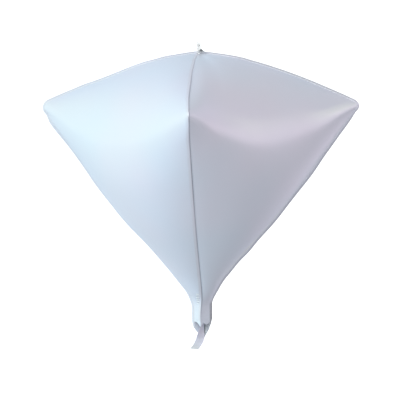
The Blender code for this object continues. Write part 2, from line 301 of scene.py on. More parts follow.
class StudioSettings(bpy.types.PropertyGroup):
    """Camera and floor of the studio."""

    azimuth: FloatProperty(
        name="Camera azimuth", description="Turn of the camera round the balloon",
        subtype="ANGLE", default=math.radians(4.0),
    )
    elevation: FloatProperty(
        name="Camera elevation", description="Height of the camera above the horizon",
        subtype="ANGLE", default=math.radians(7.5),
    )
    roll: FloatProperty(
        name="Camera roll", description="Lean of the camera to one side",
        subtype="ANGLE", default=math.radians(-0.6),
    )
    distance: FloatProperty(
        name="Camera distance", description="Distance from the camera to its target",
        default=1.47, unit="LENGTH",
    )
    lens: FloatProperty(name="Lens", description="Focal length in millimetres", default=99.0)
    floor_drop: FloatProperty(
        name="Floor drop", description="Depth of the floor below the balloon's middle",
        default=1.1, unit="LENGTH",
    )


def unit(rows):
    """Rows of numbers, each made one long."""
    return rows / np.maximum(np.linalg.norm(rows, axis=-1, keepdims=True), 1e-12)


def soft_step(share):
    """0 below 0 and 1 above 1, with a smooth rise between."""
    share = np.clip(share, 0.0, 1.0)
    return share**2 * (3 - 2 * share)


def ramp(at, start, over):
    """0 up to the start, then smoothly up to 1 over a length."""
    return soft_step((at - start) / over)


def bell(away, width, power=2):
    """1 in the middle, dying away to both sides."""
    return np.exp(-((away / width) ** power))


def stacked(*fields):
    """Numbers that may be rows or columns, spread over one grid and put together as points."""
    return np.stack(np.broadcast_arrays(*fields), axis=-1)


def eased(knots, values, at):
    """A curve through the values that bends evenly: cubic pieces with averaged slopes."""
    knots, values = np.array(knots, float), np.array(values, float)
    slopes = np.gradient(values, knots)
    place = np.clip(np.searchsorted(knots, at) - 1, 0, len(knots) - 2)
    width = knots[place + 1] - knots[place]
    s = np.clip((at - knots[place]) / width, 0.0, 1.0)
    return (
        values[place] * (2 * s**3 - 3 * s**2 + 1)
        + slopes[place] * width * (s**3 - 2 * s**2 + s)
        + values[place + 1] * (3 * s**2 - 2 * s**3)
        + slopes[place + 1] * width * (s**3 - s**2)
    )


def column_at(table, column, at):
    """A table's column, eased, at places along the table's first column."""
    columns = list(zip(*table))
    return eased(columns[0], columns[column], at)


def span_points(start, end, count):
    """Points of one profile span, as a cubic whose handles suit an arc between the headings."""
    p0 = np.array(start[:2]) * MM
    p3 = np.array(end[:2]) * MM
    h0 = math.radians(start[2])
    h3 = math.radians(end[2])
    turn = max(abs(h3 - h0), 1e-3)
    handle = np.linalg.norm(p3 - p0) * (4 / 3) * math.tan(turn / 4) / (2 * math.sin(turn / 2))
    p1 = p0 + handle * np.array([math.cos(h0), math.sin(h0)])
    p2 = p3 - handle * np.array([math.cos(h3), math.sin(h3)])
    s = (np.arange(count) / count)[:, None]
    return (1 - s) ** 3 * p0 + 3 * s * (1 - s) ** 2 * p1 + 3 * s**2 * (1 - s) * p2 + s**3 * p3


def profile(line):
    """The stations' line of that name, seam or middle, from the crown to the neck's end."""
    ends = [getattr(station, line) for station in STATIONS]
    spans = [
        span_points(here, there, station.rows)
        for here, there, station in zip(ends, ends[1:], STATIONS)
    ]
    return np.concatenate([*spans, np.array([ends[-1][:2]]) * MM])


def gore_middle():
    """A gore's middle line, with the faces of the neck pulled flat between the welds."""
    line = profile("middle")
    start, over, share = NECK_FLAT
    line[:, 0] *= 1 - share * ramp(line[:, 1] / MM, start, over)
    return line


def section_shares():
    """The rim share and the sag share of every row."""
    marks = np.cumsum([0] + [station.rows for station in STATIONS[:-1]])
    rows = np.arange(marks[-1] + 1)
    columns = zip(*(station.shares for station in STATIONS))
    return stacked(*(eased(marks, column, rows) for column in columns))


def outward_normals(line):
    """Unit normals of a profile in its own plane, pointing out of the balloon."""
    step = unit(np.gradient(line, axis=0))
    return stacked(step[:, 1], -step[:, 0])


def lengths_along(line):
    """Distances along a line of points, from its first one."""
    steps = np.linalg.norm(np.diff(line, axis=0), axis=-1)
    return np.concatenate([[0.0], np.cumsum(steps)])


def crown_share(run, least):
    """A share that grows from its least value at the crown to 1 where the seams are well apart."""
    return least + (1 - least) * ramp(run / MM, *CROWN_OPENS)


def weld_reach(places, radius, side=1):
    """Distance over the film from the weld on one side of a gore, row by row."""
    return (1 - side * places) * radius[:, None] * DIAGONAL


def section(seam, middle, shares, spread, edge):
    """One row of a gore in its own axes: out along its middle, sideways, depth."""
    rim, sag = shares
    end_out = (seam[0] + edge) * DIAGONAL
    end_side = (seam[0] - edge) * DIAGONAL
    reach = np.abs(spread)
    bend = (1 - rim) * reach**2 + rim * reach**RIM_POWER
    drop = (1 - sag) * reach**2 + sag * reach**SAG_POWER
    out = middle[0] + (end_out - middle[0]) * bend
    depth = middle[1] + (seam[1] - middle[1]) * drop
    return stacked(out, end_side * spread, depth)


def to_world(points, bearing):
    """Points given as out, side and depth, turned to a bearing and hung from the crown."""
    turn = math.radians(bearing)
    out, side, depth = points[..., 0], points[..., 1], points[..., 2]
    x = out * math.cos(turn) - side * math.sin(turn)
    y = out * math.sin(turn) + side * math.cos(turn)
    return stacked(x, y, CROWN_Z - depth)


def world_way(normal, bearing):
    """A profile's unit normals as directions in the world, at a bearing."""
    turn = math.radians(bearing)
    return stacked(normal[:, 0] * math.cos(turn), normal[:, 0] * math.sin(turn), -normal[:, 1])


def strayed(points, bearing, run, normal, near):
    """Moves rows of points with the seam at a bearing where that strays from true.

    Run and normal are each row's distance along the seam and the seam's outward normal there;
    near is 1 on the seam and 0 far off it.
    """
    bearing = bearing % 360.0
    if bearing not in STRAYS:
        return points
    front = bearing == SEAMS[0].bearing
    way = np.array([[1.0, 0.0, 0.0]]) if front else world_way(normal, bearing)
    shift = column_at(STRAYS[bearing], 1, run / MM) * MM
    return points + near[..., None] * (shift[:, None] * way)[:, None, :]


def grid_normals(grid):
    """Unit normals of a grid of points, out of the film."""
    down = np.gradient(grid, axis=0)
    across = np.gradient(grid, axis=1)
    return unit(np.cross(down, across))


def lip_drop(lip, spread):
    """Length of the lip at each place over the gore's width, with its corners eased a little."""
    fine = np.linspace(-1.0, 1.0, 241)
    window = 11
    drop = np.pad(np.interp(fine, *zip(*lip)), window // 2, mode="edge")
    drop = np.convolve(drop, np.full(window, 1 / window), mode="valid")
    return np.interp(spread, fine, drop) * MM


def gore_grid(gore, edge, run, radius):
    """The film's outer face as rows of points, with each point's place over the gore's width.

    Edge is how far the film keeps from the seam's plane; run and radius are the seams' own. All
    three are row by row.
    """
    seam = profile("seam")
    spread = np.linspace(-1.0, 1.0, COLUMNS + 1)
    spread = np.sign(spread) * (1 - (1 - np.abs(spread)) ** CROWDING)
    rows = [
        section(s, m, share, spread, gap)
        for s, m, share, gap in zip(seam, gore_middle(), section_shares(), edge)
    ]
    foot = rows[-1]
    drop = lip_drop(gore.lip, spread)
    for step in range(1, LIP_ROWS + 1):
        down = drop * step / LIP_ROWS
        narrowed = 1 - gore.lean * MM * (down / drop.max()) ** 2 / seam[-1][0]
        rows.append(foot * stacked(narrowed, narrowed, 1.0) + stacked(0.0, 0.0, down))
    grid = to_world(np.array(rows), gore.bearing)
    normal = np.concatenate([outward_normals(seam), np.tile([[1.0, 0.0]], (LIP_ROWS, 1))])
    for side in (-1, 1):
        fade = bell(weld_reach(spread, radius, side), STRAY_REACH)
        near = soft_step((1 + side * spread) / 2) * fade
        grid = strayed(grid, gore.bearing + 45.0 * side, run, normal, near)
    return grid, np.broadcast_to(spread, grid.shape[:2])


def ridge_row():
    """Index of the row that the corner station's ridge lies in."""
    names = [station.name for station in STATIONS]
    return sum(station.rows for station in STATIONS[:names.index("corner")])


def ridge_risen(grid, places, run):
    """Raises the ridge over part of its length, fading upwards and downwards from it."""
    rise = column_at(RIDGE, 1, places[0]) * MM
    away = run - run[ridge_row()]
    grid = grid.copy()
    grid[..., 2] += bell(away, np.where(away < 0, *RIDGE_FADE))[:, None] * rise
    return grid


def edge_curled(grid, places, run, radius):
    """Presses the film in beside the right-hand weld, so that it curls up to meet the weld."""
    reach = weld_reach(places, radius) / CURL_REACH
    press = CURL_DEPTH * column_at(EDGE_CURL_AND_HIGHLIGHT, 1, run / MM)[:, None] * reach * np.exp(1 - reach)
    return grid - grid_normals(grid) * press[..., None]


def settle_rows(grid, last_row, hold, passes=10):
    """Evens the film's curvature down the gore, in place, by each column's share of hold."""
    for _ in range(passes):
        inner = grid[1:last_row]
        mean = (grid[: last_row - 1] + grid[2 : last_row + 1]) / 2
        grid[1:last_row] = inner + (mean - inner) * 0.5 * hold[None, :, None]


def pucker_field(places, run, radius, height, seed):
    """Height of the film's puckers: short ridges square to the welds that die away inwards."""
    chance = np.random.default_rng(seed)
    run = run[:, None]
    total = np.zeros_like(places)
    for side in (-1, 1):
        drift = sum(
            chance.uniform(0.5, 1.0) * np.sin(run * chance.uniform(40, 160) + chance.uniform(0, 6.3))
            for _ in range(4)
        )
        wave = np.sin(run * 2 * math.pi / PUCKER_PITCH + 2.2 * drift)
        swell = 0.55 + 0.45 * np.sin(run * 31.0 + chance.uniform(0, 6.3))
        reach = weld_reach(places, radius, side)
        fade = np.exp(-reach / PUCKER_REACH) * (1 - np.exp(-reach / PUCKER_START))
        total += wave * swell * fade
    return total * height


def shell_mesh(name, grid, wall, uv, values, ring=False):
    """A closed film shell from a grid of its outer face, with a UV map and named attributes.

    A ring's last column meets its first. The faces of the inner wall are marked.
    """
    rows, columns = grid.shape[:2]
    if ring:
        wrapped = np.concatenate([grid[:, -1:], grid, grid[:, :1]], axis=1)
        normals = grid_normals(wrapped)[:, 1:-1]
    else:
        normals = grid_normals(grid)
    inner = grid - normals * wall
    points = np.concatenate([grid.reshape(-1, 3), inner.reshape(-1, 3)])
    index = np.arange(rows * columns).reshape(rows, columns)
    if ring:
        index = np.concatenate([index, index[:, :1]], axis=1)
    rims = [index[0], index[-1][::-1]]
    if not ring:
        rims += [index[:, 0][::-1], index[:, -1]]
    a, b = index[:-1, :-1].ravel(), index[1:, :-1].ravel()
    c, d = index[1:, 1:].ravel(), index[:-1, 1:].ravel()
    step = rows * columns
    faces = [np.stack([a, b, c, d], 1), np.stack([a, d, c, b], 1) + step]
    outer_count = len(a)
    for rim in rims:
        here, there = rim[:-1], rim[1:]
        faces.append(np.stack([here, there, there + step, here + step], 1))
    faces = np.concatenate(faces)
    mesh = bpy.data.meshes.new(name)
    mesh.from_pydata(points.tolist(), [], faces.tolist())
    inside = np.zeros(len(faces), np.int32)
    inside[outer_count : 2 * outer_count] = 1
    mesh.attributes.new("inner_wall", "INT", "FACE").data.foreach_set("value", inside)
    flat_uv = np.concatenate([uv.reshape(-1, 2)] * 2)
    layer = mesh.uv_layers.new(name="film")
    loops = np.empty(len(mesh.loops), np.int32)
    mesh.loops.foreach_get("vertex_index", loops)
    layer.data.foreach_set("uv", flat_uv[loops].ravel().astype(np.float32))
    for label, field in values.items():
        attribute = mesh.attributes.new(label, "FLOAT", "POINT")
        both = np.concatenate([field.ravel()] * 2).astype(np.float32)
        attribute.data.foreach_set("value", both)
    mesh.validate()
    return mesh


def linked_object(name, data):
    """A new object, in the scene."""
    obj = bpy.data.objects.new(name, data)
    bpy.context.scene.collection.objects.link(obj)
    return obj


def add_piece(name, mesh, material, angle=40.0, inner_material=None):
    """Smooths a mesh up to an angle and puts it in the scene with its materials."""
    mesh.shade_smooth()
    mesh.set_sharp_from_angle(angle=math.radians(angle))
    mesh.materials.clear()
    mesh.materials.append(material)
    if inner_material:
        mesh.materials.append(inner_material)
        marks = np.zeros(len(mesh.polygons), np.int32)
        mesh.attributes["inner_wall"].data.foreach_get("value", marks)
        mesh.polygons.foreach_set("material_index", marks)
    if "inner_wall" in mesh.attributes:
        mesh.attributes.remove(mesh.attributes["inner_wall"])
    return linked_object(name, mesh)


def shell_piece(name, material, grid, wall, uv, values, angle=40.0, ring=False):
    """A film shell as a piece of its own, with all of its faces turned out."""
    mesh = shell_mesh(name, grid, wall, uv, values, ring)
    work = bmesh.new()
    work.from_mesh(mesh)
    bmesh.ops.recalc_face_normals(work, faces=work.faces[:])
    work.to_mesh(mesh)
    work.free()
    return add_piece(name, mesh, material, angle)


# Node groups and materials

WHITE = (1.0, 1.0, 1.0, 1.0)
CRINKLE_HEIGHT = 0.4 * MM


def feed(tree, node, inputs):
    """Gives each named input of a node a plain value, or a link from a socket."""
    for label, value in inputs.items():
        if isinstance(value, bpy.types.NodeSocket):
            tree.links.new(value, node.inputs[label])
        else:
            node.inputs[label].default_value = value


def add_node(tree, kind, inputs=None, **settings):
    """A new node with its settings and what its inputs are fed."""
    node = tree.nodes.new(kind)
    for label, value in settings.items():
        setattr(node, label, value)
    feed(tree, node, inputs or {})
    return node


def result(tree, kind, inputs=None, out=0, **settings):
    """One output of a new node."""
    return add_node(tree, kind, inputs, **settings).outputs[out]


def new_group(name, inputs, outputs, kind="ShaderNodeTree"):
    """A node group with its inputs (name, kind, default) and outputs (name, kind)."""
    tree = bpy.data.node_groups.new(name, kind)
    for label, sort, default in inputs:
        socket = tree.interface.new_socket(label, in_out="INPUT", socket_type="NodeSocket" + sort)
        if default is not None:
            socket.default_value = default
    for label, sort in outputs:
        tree.interface.new_socket(label, in_out="OUTPUT", socket_type="NodeSocket" + sort)
    return tree, tree.nodes.new("NodeGroupInput").outputs, tree.nodes.new("NodeGroupOutput")


def maths(tree, operation, *values):
    return result(tree, "ShaderNodeMath", dict(enumerate(values)), operation=operation)


def vector_maths(tree, operation, *values, out=0):
    return result(tree, "ShaderNodeVectorMath", dict(enumerate(values)), out, operation=operation)


def blended(tree, factor, first, second):
    """A colour between two others."""
    return result(tree, "ShaderNodeMix", {0: factor, 6: first, 7: second}, 2, data_type="RGBA")


def noise(tree, vector, scale, detail, roughness=0.5):
    inputs = {"Vector": vector, "Scale": scale, "Detail": detail, "Roughness": roughness}
    return result(tree, "ShaderNodeTexNoise", inputs)


def film_crinkle_group():
    """Height of the film's fine crinkles: long creases along the gore and a faint grain."""
    tree, given, made = new_group(
        "film_crinkle",
        (("Vector", "Vector", None), ("Crease Scale", "Float", 28.0),
         ("Grain Scale", "Float", 900.0), ("Grain Share", "Float", 0.12)),
        (("Height", "Float"),),
    )
    stretched = result(
        tree, "ShaderNodeMapping", {"Vector": given["Vector"], "Scale": (1.0, 0.35, 1.0)}
    )
    crease = noise(tree, stretched, given["Crease Scale"], 3.0, roughness=0.55)
    grain = noise(tree, given["Vector"], given["Grain Scale"], 2.0)
    fine = maths(tree, "MULTIPLY", grain, given["Grain Share"])
    feed(tree, made, {"Height": maths(tree, "ADD", crease, fine)})
    return tree


def pearl_group():
    """Pearl colour that drifts between two tints, darkened by painted shade where the film meets a
    weld, which also makes it rougher there, and lightened by a painted highlight.
    """
    tree, given, made = new_group(
        "pearl",
        (("Vector", "Vector", None), ("Colour", "Color", None), ("Tint", "Color", None),
         ("Roughness", "Float", 0.34), ("Weld Shade", "Float", 0.0),
         ("Shade Colour", "Color", None), ("Cloud Scale", "Float", 5.0),
         ("Edge Glow", "Float", 0.0)),
        (("Colour", "Color"), ("Roughness", "Float")),
    )
    cloud = noise(tree, given["Vector"], given["Cloud Scale"], 2.0)
    drift = result(
        tree, "ShaderNodeMapRange", {"Value": cloud, "From Min": 0.35, "From Max": 0.65}
    )
    tinted = blended(tree, drift, given["Colour"], given["Tint"])
    # Painted shade, then a painted highlight towards white
    shaded = blended(tree, given["Weld Shade"], tinted, given["Shade Colour"])
    with_painted_highlight = blended(tree, given["Edge Glow"], shaded, WHITE)
    speck = maths(tree, "SUBTRACT", noise(tree, given["Vector"], 60.0, 3.0), 0.5)
    rough = maths(tree, "ADD", given["Roughness"], maths(tree, "MULTIPLY", speck, 0.12))
    dull = maths(tree, "MULTIPLY", given["Weld Shade"], 0.15)
    feed(tree, made, {"Colour": with_painted_highlight, "Roughness": maths(tree, "ADD", rough, dull)})
    return tree


def shared_group(tree, name, maker, inputs):
    """A node that holds the shared group of that name."""
    group = bpy.data.node_groups.get(name) or maker()
    return add_node(tree, "ShaderNodeGroup", inputs, node_tree=group)


def attribute_value(tree, label):
    return result(tree, "ShaderNodeAttribute", out="Fac", attribute_name=label)


def new_material(name):
    """A new material, its tree and its shader."""
    material = bpy.data.materials.new(name)
    material.use_nodes = True
    tree = material.node_tree
    return material, tree, tree.nodes["Principled BSDF"]


def film_material(name, colour, tint, roughness, metal, crinkle=0.25, crease_scale=28.0,
                  cloud_scale=5.0, shade_from=None, shade_colour=(0.30, 0.32, 0.38),
                  cover=None, highlight_from=None):
    """A satin pearl film: the two groups feed one shader and one bump.

    A film with a cover lets light through, save where its shade attribute is strong.
    """
    material, tree, shader = new_material(name)
    pearl = shared_group(tree, "pearl", pearl_group, {
        "Vector": result(tree, "ShaderNodeTexCoord", out="Object"),
        "Colour": (*colour, 1.0), "Tint": (*tint, 1.0), "Roughness": roughness,
        "Cloud Scale": cloud_scale, "Shade Colour": (*shade_colour, 1.0),
    })
    # Painted shade and painted highlight, read from the piece's attributes
    if shade_from:
        shade = attribute_value(tree, shade_from)
        feed(tree, pearl, {"Weld Shade": shade})
        if cover:
            feed(tree, shader, {"Alpha": maths(tree, "MAXIMUM", shade, cover)})
    if highlight_from:
        feed(tree, pearl, {"Edge Glow": attribute_value(tree, highlight_from)})
    crinkles = shared_group(tree, "film_crinkle", film_crinkle_group, {
        "Vector": result(tree, "ShaderNodeUVMap", uv_map="film"),
        "Crease Scale": crease_scale,
    })
    normal = result(tree, "ShaderNodeBump", {
        "Height": crinkles.outputs["Height"], "Strength": crinkle, "Distance": CRINKLE_HEIGHT,
    })
    feed(tree, shader, {
        "Base Color": pearl.outputs["Colour"], "Roughness": pearl.outputs["Roughness"],
        "Metallic": metal, "Normal": normal,
    })
    return material


# The film's inner face, which shows at the lips: colour, second tint and metallising. One copy
# is pale, with painted light, for the lips that the light reaches; the other is dark, with
# painted shade, for the lips on the side away from the light.
INNER = {
    "inner_film_pale": ((0.92, 0.93, 0.98), (0.84, 0.86, 0.94), 0.05),
    "inner_film_dull": ((0.41, 0.41, 0.44), (0.74, 0.74, 0.78), 0.20),
}


def inner_film(label):
    """The inner film of that name, made where it isn't there yet."""
    colour, tint, metal = INNER[label]
    return bpy.data.materials.get(label) or film_material(
        label, colour, tint, 0.42, metal, crinkle=0.6, crease_scale=260.0, cloud_scale=230.0,
        shade_from="fold_shade" if label.endswith("dull") else None,
        shade_colour=(0.10, 0.10, 0.12),
    )


# Pieces

def weld_shade(places, run, radius, strengths):
    """Painted shade along the film's two welds, where it dips into its groove."""
    depth = column_at(PAINTED_GROOVE_SHADE, 1, run / MM)[:, None]
    near = bell(weld_reach(np.abs(places), radius), GROOVE_HALF)
    return np.where(places < 0, *strengths) * depth * near


def pleat_shade(places, run, radius):
    """Painted shade on the film between the pleats beside the front weld, above the neck."""
    near = bell(weld_reach(places, radius) - PLEATS_IN[0], PLEATS_IN[1], power=4)
    along = bell(run - PLEATS_ALONG[0], PLEATS_ALONG[1], power=4)
    return 0.24 * near * along[:, None]


def painted_crest_highlight(places, run):
    """Painted highlight on the crest of the ridge."""
    width = np.interp(places[0], CREST_PLACES, CREST_WIDTHS) * MM
    away = (run - run[ridge_row()])[:, None] + 0.9 * width
    return column_at(RIDGE, 2, places[0]) * bell(away, width)


def edge_glow(places, run, radius):
    """Painted highlight on the film beside the right-hand weld: a haze and fine dots."""
    reach = weld_reach(places, radius)
    haze = 0.95 * np.exp(-reach / HAZE_REACH)
    dots = 0.75 + 0.25 * np.sin(run * 2 * math.pi / DOT_PITCH)
    line = bell(reach - DOT_LINE, DOT_LINE) * dots[:, None]
    return column_at(EDGE_CURL_AND_HIGHLIGHT, 1, run / MM)[:, None] * (haze + 0.8 * line)


def make_gore(gore, settings, material, inner_material, number):
    """One gore of film, with its quarter of the neck and its lip."""
    seam = profile("seam")
    body_rows = len(seam)
    run = lengths_along(seam)
    run = np.concatenate([run, run[-1] + np.arange(1, LIP_ROWS + 1) * MM])
    radius = np.concatenate([seam[:, 0], np.full(LIP_ROWS, seam[-1, 0])])
    grid, places = gore_grid(gore, FILM_GAP * crown_share(run, CROWN_GAP), run, radius)
    # Painted shade in the grooves along the welds
    shade = weld_shade(places, run, radius, gore.groove)
    shade[-LIP_ROWS:] *= 0.1
    glow = 0.0 * places
    if gore.name == "gore_front_left":
        # Painted shade between the neck pleats
        shade = shade + pleat_shade(places, run, radius)
    if gore.name == "gore_front_right":
        grid = edge_curled(ridge_risen(grid, places, run), places, run, radius)
        flank = 0.9 * bell(places[0] - RIDGE_FLANK[0], RIDGE_FLANK[1])
        settle_rows(grid, body_rows - RIDGE_STOP, flank, passes=50)
        # Painted highlight beside the right-hand weld and on the crest of the ridge
        glow = edge_glow(places, run, radius) + painted_crest_highlight(places, run)
    hold = 1.0 - np.abs(np.linspace(-1, 1, COLUMNS + 1)) ** 6
    settle_rows(grid, body_rows - SETTLE_STOP, hold)
    fade = np.clip(radius / PUCKER_ROOM, 0.0, 1.0)
    heights = pucker_field(places, run, radius, settings.pucker, 11 + number)
    grid = grid + grid_normals(grid) * (heights * fade[:, None])[..., None]
    # Painted shade in a fold of the lip, where its inner face shows
    fold = bell(places - 0.24, 0.16) * (run[:, None] > run[body_rows - 1])
    fields = {"weld_shade": shade, "edge_glow": glow, "fold_shade": fold}
    uv = stacked(places * radius[:, None], run[:, None])
    name = "film_" + gore.name
    mesh = shell_mesh(name, grid, settings.wall, uv, fields)
    piece = add_piece(name, mesh, material, inner_material=inner_material)
    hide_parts(gore.name)
    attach(piece, "envelope")


def film_angle():
    """Angle from a seam's outward direction to the film beside it, row by row."""
    seam = profile("seam")
    angles = []
    for s, m, share, n in zip(seam, gore_middle(), section_shares(), outward_normals(seam)):
        step = min(4 * MM / (s[0] * DIAGONAL), 1.0)
        near, edge = section(s, m, share, np.array([1 - step, 1.0]), 0.0)
        out, side, depth = near - edge
        level = (out - side) * DIAGONAL
        rise = (out + side) * DIAGONAL * n[0] + depth * n[1]
        angles.append(math.atan2(level, rise))
    return np.array(angles)


def weld_lay(seam, run):
    """Angle that a flange is laid over by, all along it."""
    if seam.lays is None:
        beside = np.interp(run, lengths_along(profile("seam")), film_angle())
        return seam.lean * (beside - PRESSED_GAP)
    return seam.lean * np.radians(np.interp(run / MM, LAY_MARKS, seam.lays))


def weld_frames(seam, number):
    """A flange's root line: radius and depth, outward directions, distance run, and its waves.

    The side flanges run on along the lips.
    """
    line = profile("seam")
    normal = outward_normals(line)
    line = np.concatenate([[[1.0 * MM, line[0, 1]]], line])
    normal = np.concatenate([[[0.0, -1.0]], normal])
    past = seam.foot[0] * MM - line[-1, 1]
    if past > MM:
        below = line[-1, 1] + np.arange(1, FOOT_ROWS + 1) / FOOT_ROWS * past
        line = np.concatenate([line, stacked(line[-1, 0], below)])
        normal = np.concatenate([normal, np.tile([[1.0, 0.0]], (FOOT_ROWS, 1))])
    run = lengths_along(line)
    run = run - run[1]
    chance = np.random.default_rng(40 + number)
    sway = sum(
        np.sin(run * chance.uniform(60, 320) + chance.uniform(0, 6.3)) for _ in range(5)
    ) / 2.2
    return line, normal, run, sway * seam.wave * MM


def weld_points(points, seam, run, normal):
    """A flange's rows of points in the world, strayed with the film's own edge."""
    near = np.ones(points.shape[:2])
    return strayed(to_world(points, seam.bearing), seam.bearing, run, normal, near)


def weld_section(seam, lay, width):
    """Distances out and sideways over a flange's section, from inside the film outwards."""
    steps = 8
    turning_steps = 2.5
    root = PRESSED_ROOT if seam.lays is None else 0.0
    out = [np.full_like(lay, root - ROOT_REACH), np.full_like(lay, root)]
    side = [np.zeros_like(lay), np.zeros_like(lay)]
    for k in range(1, steps + 1):
        turned = lay * min((k - 0.5) / turning_steps, 1.0)
        out.append(out[-1] + width / steps * np.cos(turned))
        side.append(side[-1] + width / steps * np.sin(turned))
    return np.stack(out, axis=1), np.stack(side, axis=1)


def painted_flange_shade(name, run, depth, reach):
    """Painted shade on a flange, by distance run and depth (mm) and the place over its width."""
    shade = 0.0 * (run + reach)
    if name in ("seam_right", "seam_left"):
        shade = shade + 0.16 * (1 - ramp(run, 40.0, 40.0))
    if name == "seam_right":
        above = ramp(run, 30.0, 30.0) * (1 - ramp(run, 202.0, 10.0))
        below = ramp(run, 222.0, 20.0)
        shade = np.maximum(shade, 0.30 * above * (1 - ramp(reach, 0.45, 0.35)))
        shade = np.maximum(shade, 0.20 * below * ramp(reach, 0.1, 0.3))
        shade = np.maximum(shade, 0.72 * ramp(depth, 332.0, 8.0))
    return shade


def make_weld(seam, settings, material, number):
    """One welded flange, from the crown to its foot beside the lips."""
    line, normal, run, sway = weld_frames(seam, number)
    wall = settings.wall * crown_share(run, CROWN_WALL)[:, None, None]
    out, side = weld_section(seam, weld_lay(seam, run), settings.width)
    reach = np.linspace(-0.1, 1.0, out.shape[1])[None, :].clip(0.0, 1.0)
    radial = line[:, None, 0] + normal[:, None, 0] * out
    depth = line[:, None, 1] + normal[:, None, 1] * out
    root_end, edge_end = seam.foot
    if root_end != edge_end:
        bend = FOOT_BEND * MM
        end = (root_end + (edge_end - root_end) * reach) * MM
        share = (end - bend) / (root_end * MM - bend)
        depth = np.where(depth > bend, bend + (depth - bend) * share, depth)
    points = stacked(radial, side + sway[:, None] * reach**2, depth)
    grid = weld_points(points, seam, run, normal)
    grid = grid + grid_normals(grid) * wall / 2
    uv = stacked(reach * settings.width, run[:, None])
    # Painted shade on the side flanges, near the crown and along the right-hand one
    shade = painted_flange_shade(seam.name, run[:, None] / MM, line[:, None, 1] / MM, reach)
    label = seam.name.replace("seam", "weld")
    piece = shell_piece(label, material, grid, wall, uv, {"weld_shade": shade})
    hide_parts(seam.name)
    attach(piece, "envelope")


def socket_id(tree, label):
    for item in tree.interface.items_tree:
        if item.item_type == "SOCKET" and item.in_out == "INPUT" and item.name == label:
            return item.identifier
    raise RuntimeError("the tree has no input named " + label)


def rib_tree():
    """Ribs along a guide line: each stands square to the line, along the guide's two directions."""
    tree, given, made = new_group(
        "weld_ribs",
        (("Geometry", "Geometry", None), ("Spacing", "Float", 1.6 * MM),
         ("Length", "Float", 3.4 * MM), ("Width", "Float", 0.6 * MM),
         ("Height", "Float", 0.3 * MM), ("Material", "Material", None)),
        (("Geometry", "Geometry"),),
        "GeometryNodeTree",
    )
    for item in tree.interface.items_tree:
        if item.socket_type == "NodeSocketFloat":
            item.subtype = "DISTANCE"
    curve = result(tree, "GeometryNodeMeshToCurve", {"Mesh": given["Geometry"]})
    spaced = result(
        tree, "GeometryNodeResampleCurve", {"Curve": curve, "Length": given["Spacing"]},
        mode="LENGTH",
    )
    rib = result(tree, "GeometryNodeMeshUVSphere", {"Segments": 8, "Rings": 5, "Radius": 0.5})
    size = result(
        tree, "ShaderNodeCombineXYZ",
        {"X": given["Length"], "Y": given["Width"], "Z": given["Height"]},
    )
    out, face = (
        result(tree, "GeometryNodeInputNamedAttribute", {"Name": label}, data_type="FLOAT_VECTOR")
        for label in ("rib_out", "rib_face")
    )
    turned = result(
        tree, "FunctionNodeAxesToRotation", {"Primary Axis": out, "Secondary Axis": face},
        primary_axis="X", secondary_axis="Z",
    )
    swell = result(
        tree, "FunctionNodeRandomValue",
        {"Min": (0.85, 0.8, 0.6), "Max": (1.0, 1.2, 1.2), "Seed": 5}, data_type="FLOAT_VECTOR",
    )
    placed = result(tree, "GeometryNodeInstanceOnPoints", {
        "Points": spaced, "Instance": rib, "Rotation": turned,
        "Scale": vector_maths(tree, "MULTIPLY", size, swell),
    })
    real = result(tree, "GeometryNodeRealizeInstances", {"Geometry": placed})
    dressed = result(
        tree, "GeometryNodeSetMaterial", {"Geometry": real, "Material": given["Material"]}
    )
    feed(tree, made, {"Geometry": dressed})
    return tree


def grown_mesh(name, guide, values, material):
    """Runs the rib tree on a guide line and gives back the plain mesh that it grows."""
    points, out, face = guide
    mesh = bpy.data.meshes.new(name + "_guide")
    mesh.from_pydata(points.tolist(), [(k, k + 1) for k in range(len(points) - 1)], [])
    for label, field in (("rib_out", out), ("rib_face", face)):
        attribute = mesh.attributes.new(label, "FLOAT_VECTOR", "POINT")
        attribute.data.foreach_set("vector", field.astype(np.float32).ravel())
    holder = linked_object(name + "_guide", mesh)
    modifier = holder.modifiers.new("ribs", "NODES")
    modifier.node_group = bpy.data.node_groups.get("weld_ribs") or rib_tree()
    for label, value in {**values, "Material": material}.items():
        modifier[socket_id(modifier.node_group, label)] = value
    graph = bpy.context.evaluated_depsgraph_get()
    grown = bpy.data.meshes.new_from_object(holder.evaluated_get(graph), depsgraph=graph)
    bpy.data.objects.remove(holder, do_unlink=True)
    if not grown.polygons:
        raise RuntimeError(name + ": the ribs came out empty")
    grown.name = name
    return grown


# The ribs' middle: its place over a flange's width, and its distance from the flange's middle in
# the wall, as a share of that wall
RIB_REACH = 0.6
RIB_RISE = 0.42


def rib_line(seam, settings, number, at):
    """A line along a flange's showing face: depths, and points with their directions.

    The directions run across the flange and out of its face.
    """
    line, normal, run, sway = weld_frames(seam, number)
    lay = weld_lay(seam, run)
    out, side = weld_section(seam, lay, settings.width)
    turn = math.radians(seam.bearing)
    sideways = np.array([-math.sin(turn), math.cos(turn), 0.0])
    outward = world_way(normal, seam.bearing)
    cosine, sine = np.cos(lay)[:, None], np.sin(lay)[:, None]
    across = unit(outward * cosine + sideways * sine)
    face = unit(outward * sine - sideways * cosine) * seam.lean
    radial = line[:, 0] + normal[:, 0] * out[:, at]
    depth = line[:, 1] + normal[:, 1] * out[:, at]
    points = stacked(radial, side[:, at] + sway * RIB_REACH**2, depth)[:, None]
    centre = weld_points(points, seam, run, normal)[:, 0]
    centre += face * settings.wall * RIB_RISE * crown_share(run, CROWN_WALL)[:, None]
    return line[:, 1], (centre, across, face)


def rib_piece(label, guide, kept, values, material):
    """Ribs along the kept rows of a guide, as a piece of its own."""
    mesh = grown_mesh(label, [rows[kept] for rows in guide], values, material)
    piece = add_piece(label, mesh, material, angle=80.0)
    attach(piece, "envelope")


